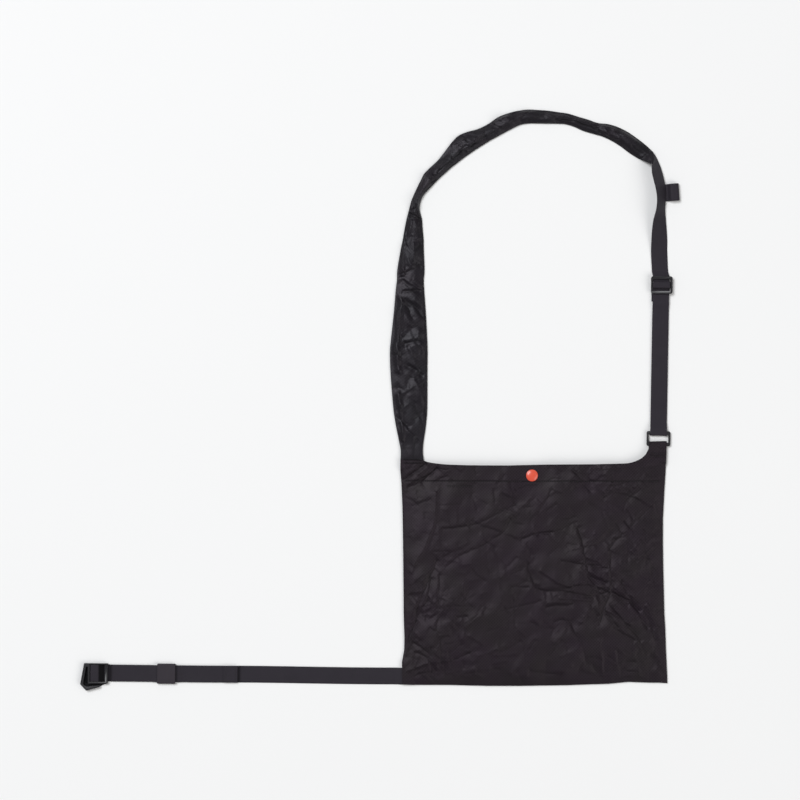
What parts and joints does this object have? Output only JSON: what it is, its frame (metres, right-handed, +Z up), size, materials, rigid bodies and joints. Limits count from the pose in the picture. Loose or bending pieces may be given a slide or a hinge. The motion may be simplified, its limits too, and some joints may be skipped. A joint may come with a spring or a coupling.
{
  "type": "cycling musette bag",
  "caption": "Flat crumpled cloth shoulder pouch with a snap at the mouth, a cloth and webbing shoulder strap and a waist strap that ends in a hook.",
  "frame": {"origin": "middle of the foot of the whole object's box as it lies flat", "axes": "+X to the right across the bag's front, +Y from the bag towards the top of the shoulder strap, +Z up from the surface that the bag lies on"},
  "size_m": [0.7306, 0.7094, 0.0188],
  "materials": {
    "nylon": "matte ripstop nylon",
    "strap_cloth": "matte ripstop nylon",
    "webbing": "woven nylon webbing",
    "elastic": "woven elastic",
    "black_plastic": "smooth moulded",
    "snap_orange": "glossy",
    "snap_metal": "plain"
  },
  "bodies": {
    "root": {"back_panel": "nylon", "front_panel": "nylon", "ring_tab": "nylon", "shoulder_strap": "strap_cloth", "strap_webbing": "webbing", "loop_tab": "webbing", "waist_webbing": "webbing", "waist_keeper": "elastic", "slider": "black_plastic", "ring": "black_plastic", "hook_buckle": "black_plastic", "snap_cap": "snap_orange", "snap_stud": "snap_metal"}
  },
  "joints": []
}
